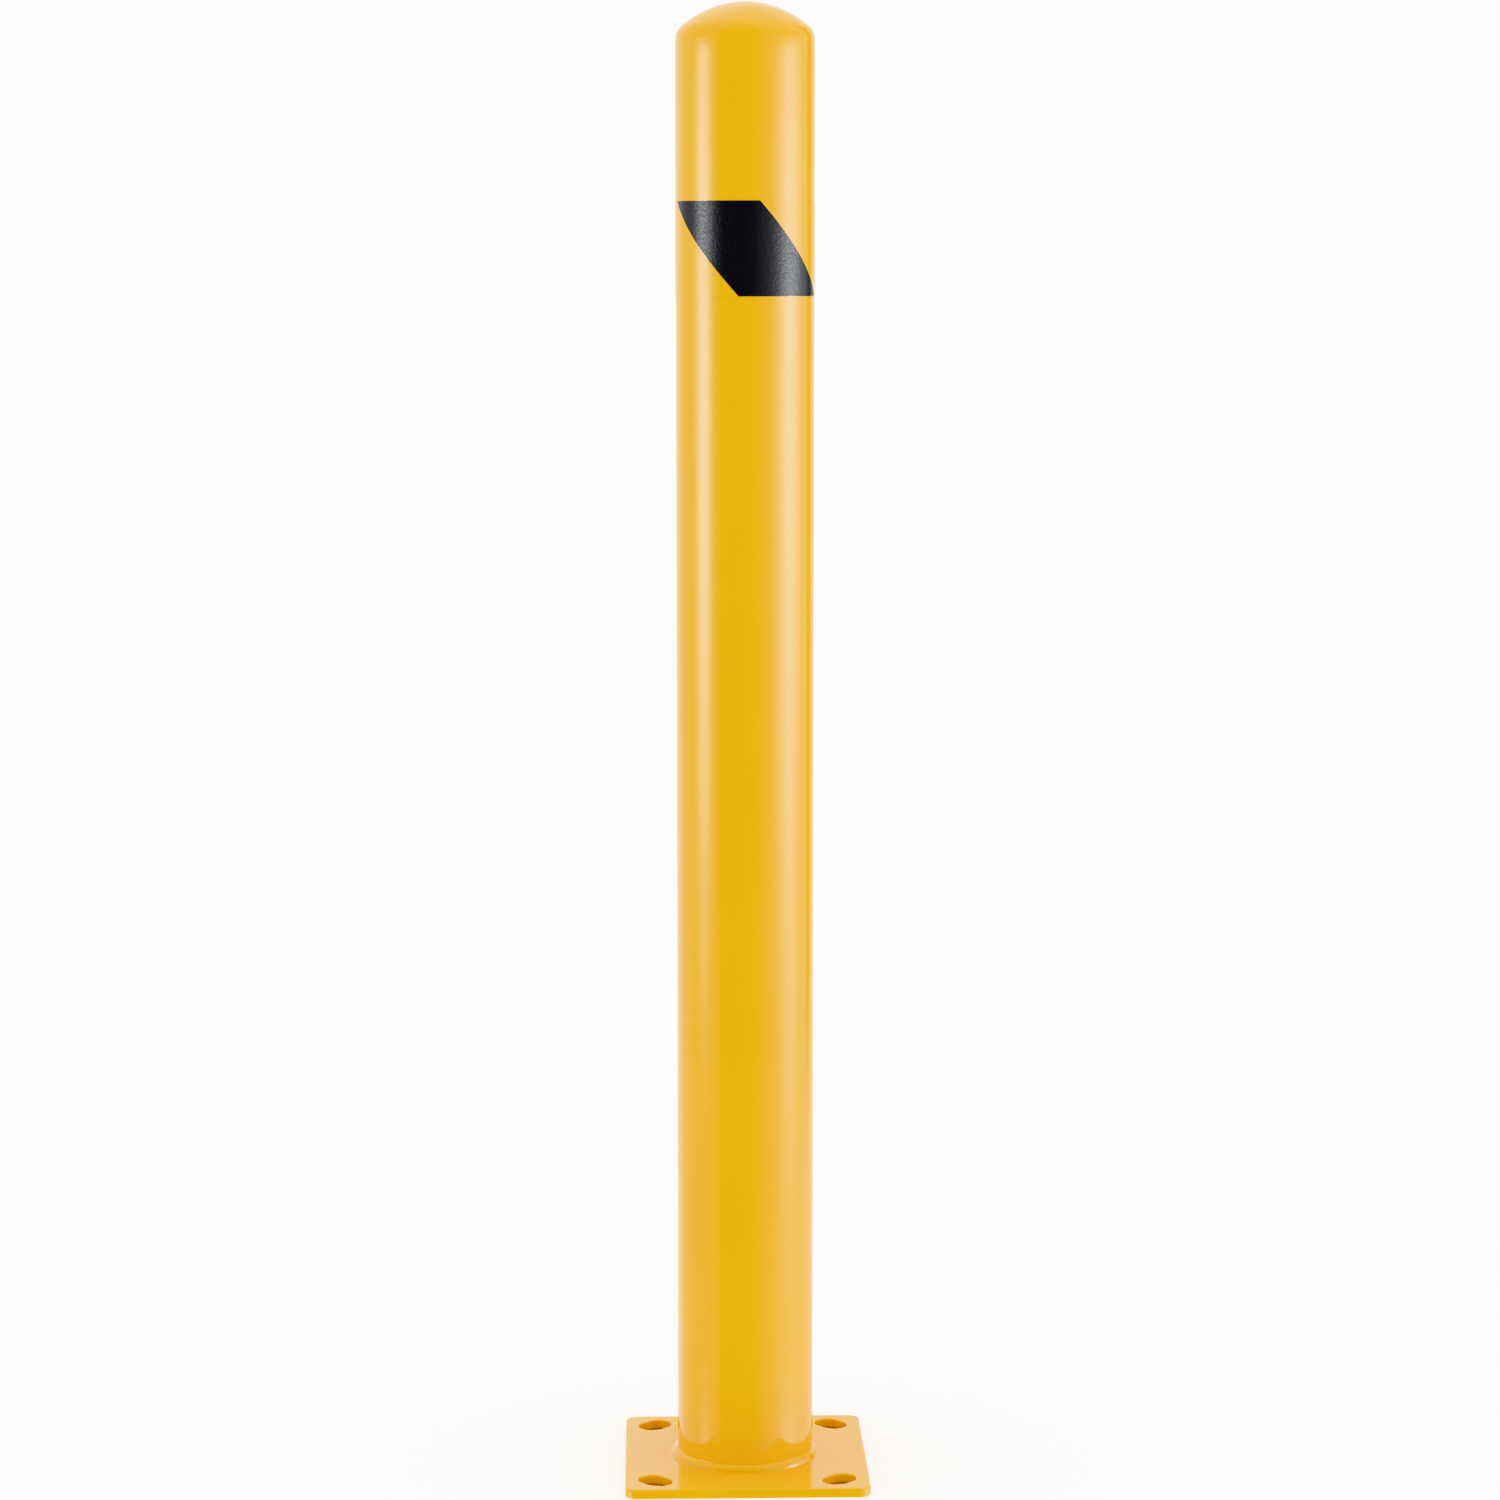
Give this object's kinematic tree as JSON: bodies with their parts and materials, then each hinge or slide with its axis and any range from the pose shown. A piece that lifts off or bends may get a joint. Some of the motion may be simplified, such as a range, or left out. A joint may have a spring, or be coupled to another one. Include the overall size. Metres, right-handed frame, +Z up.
{
  "type": "safety bollard",
  "caption": "Yellow steel pipe bollard with a domed cap, a black and yellow hazard tape band near the top, and a square base plate with diagonal anchor slots.",
  "frame": {"origin": "centre of the base plate's underside, on the ground", "axes": "+Z up along the post to the crown of the cap; -Y is the front, which the middle of one black stripe faces at the tape's mid-height, to within 2 degrees; +X is to the right seen from the front, and X and Y run along the sides of the square plate"},
  "size_m": [0.2032, 0.2032, 1.2192],
  "materials": {
    "post_paint": "gloss",
    "plate_paint": "gloss",
    "tape_yellow": "gloss",
    "tape_black": "gloss"
  },
  "bodies": {
    "root": {"base_plate": "plate_paint", "post_tube": "post_paint", "domed_cap": "post_paint", "cap_weld": "post_paint", "base_weld": "plate_paint", "tape_band": "tape_yellow", "stripe_front": "tape_black", "stripe_back": "tape_black"}
  },
  "joints": []
}
